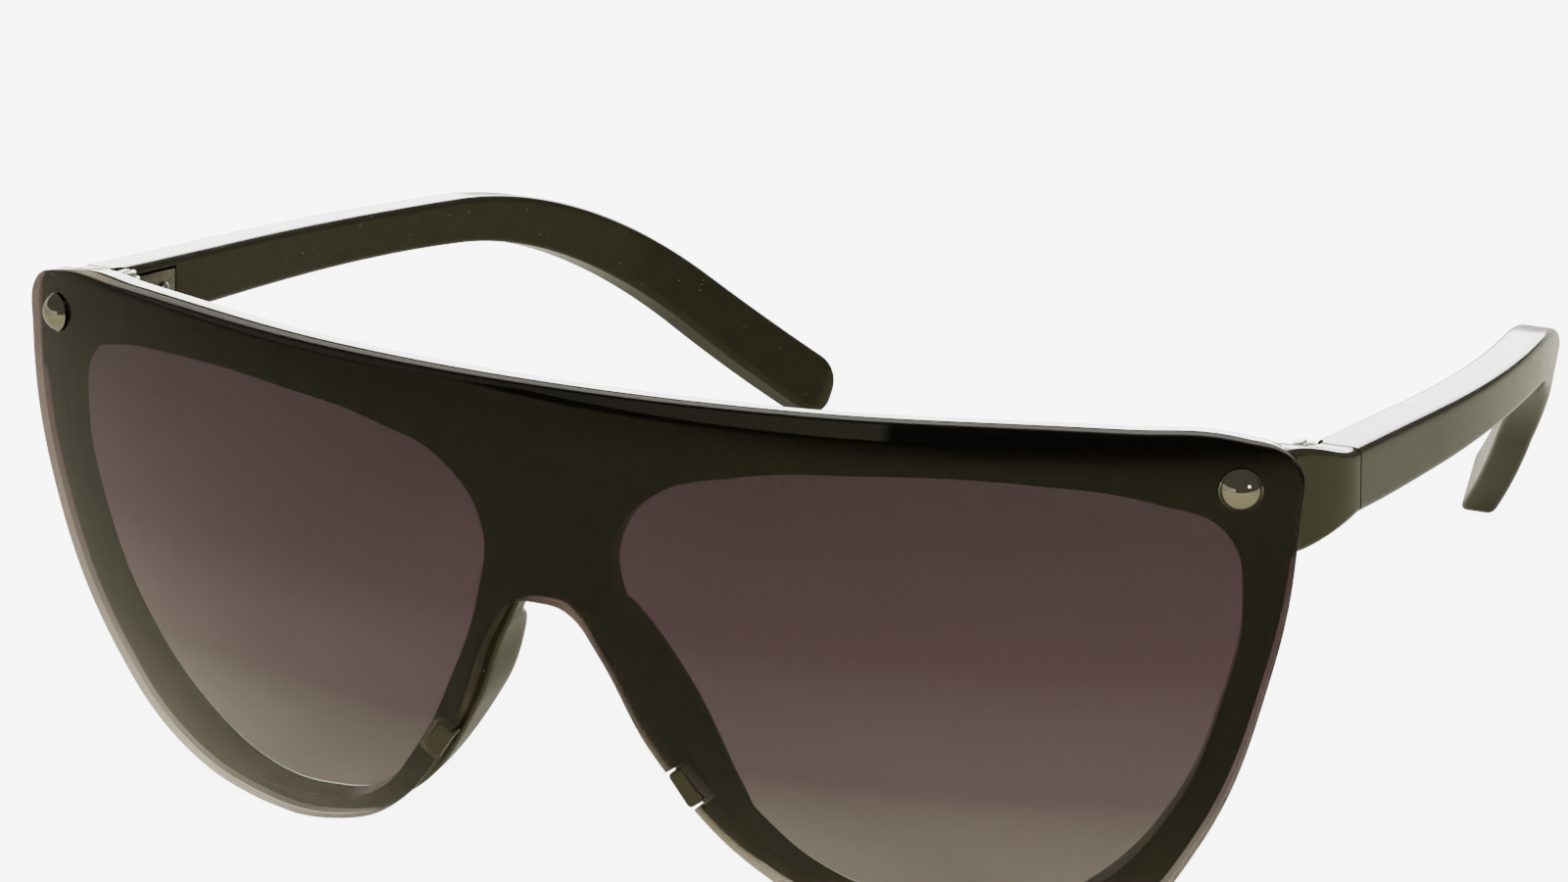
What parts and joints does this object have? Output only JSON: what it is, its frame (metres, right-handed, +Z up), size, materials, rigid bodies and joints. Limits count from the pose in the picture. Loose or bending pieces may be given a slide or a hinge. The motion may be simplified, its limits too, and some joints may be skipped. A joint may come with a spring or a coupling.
{
  "type": "shield sunglasses",
  "caption": "Flat-top shield sunglasses: one gradient lens fixed by domed studs on a glossy dark frame with moulded nose pads and folding temples.",
  "frame": {"origin": "on the ground under the middle of the glasses, which stand open on the lower edges of the lens and on the tips of the temples", "axes": "+Z up; the wearer looks along -Y; +X is towards the wearer's left temple"},
  "size_m": [0.1478, 0.1466, 0.056],
  "materials": {
    "frame_front": "glossy olive black, moulded",
    "shield_lens": "clear plastic with a purple brown tint that fades to pale olive at the bottom",
    "lens_stud_left": "polished",
    "lens_stud_right": "polished",
    "stud_washer_left": "plain nylon",
    "stud_washer_right": "plain nylon",
    "stud_nut_left": "bright steel",
    "stud_nut_right": "bright steel",
    "front_hinge_leaf_left": "bright steel",
    "front_hinge_leaf_right": "bright steel",
    "front_leaf_upper_screw_left": "bright steel",
    "front_leaf_upper_screw_right": "bright steel",
    "front_leaf_lower_screw_left": "bright steel",
    "front_leaf_lower_screw_right": "bright steel",
    "hinge_screw_left": "bright steel",
    "hinge_screw_right": "bright steel",
    "temple_left": "glossy olive black, moulded",
    "temple_hinge_leaf_left": "bright steel",
    "temple_leaf_near_screw_left": "bright steel",
    "temple_leaf_far_screw_left": "bright steel",
    "temple_right": "glossy olive black, moulded",
    "temple_hinge_leaf_right": "bright steel",
    "temple_leaf_near_screw_right": "bright steel",
    "temple_leaf_far_screw_right": "bright steel"
  },
  "bodies": {
    "front": {"frame_front": "frame_front", "shield_lens": "shield_lens", "lens_stud_left": "lens_stud_left", "lens_stud_right": "lens_stud_right", "stud_washer_left": "stud_washer_left", "stud_washer_right": "stud_washer_right", "stud_nut_left": "stud_nut_left", "stud_nut_right": "stud_nut_right", "front_hinge_leaf_left": "front_hinge_leaf_left", "front_hinge_leaf_right": "front_hinge_leaf_right", "front_leaf_upper_screw_left": "front_leaf_upper_screw_left", "front_leaf_upper_screw_right": "front_leaf_upper_screw_right", "front_leaf_lower_screw_left": "front_leaf_lower_screw_left", "front_leaf_lower_screw_right": "front_leaf_lower_screw_right", "hinge_screw_left": "hinge_screw_left", "hinge_screw_right": "hinge_screw_right"},
    "left_temple": {"temple_left": "temple_left", "temple_hinge_leaf_left": "temple_hinge_leaf_left", "temple_leaf_near_screw_left": "temple_leaf_near_screw_left", "temple_leaf_far_screw_left": "temple_leaf_far_screw_left"},
    "right_temple": {"temple_right": "temple_right", "temple_hinge_leaf_right": "temple_hinge_leaf_right", "temple_leaf_near_screw_right": "temple_leaf_near_screw_right", "temple_leaf_far_screw_right": "temple_leaf_far_screw_right"}
  },
  "joints": [
    {"name": "left_temple_hinge", "type": "hinge", "parent": "front", "child": "left_temple", "pos_m": [0.0682, -0.04474, 0.04761], "axis": [0, 0, 1], "range_deg": [0, 83]},
    {"name": "right_temple_hinge", "type": "hinge", "parent": "front", "child": "right_temple", "pos_m": [-0.0682, -0.04474, 0.04761], "axis": [0, 0, -1], "range_deg": [0, 78]}
  ]
}
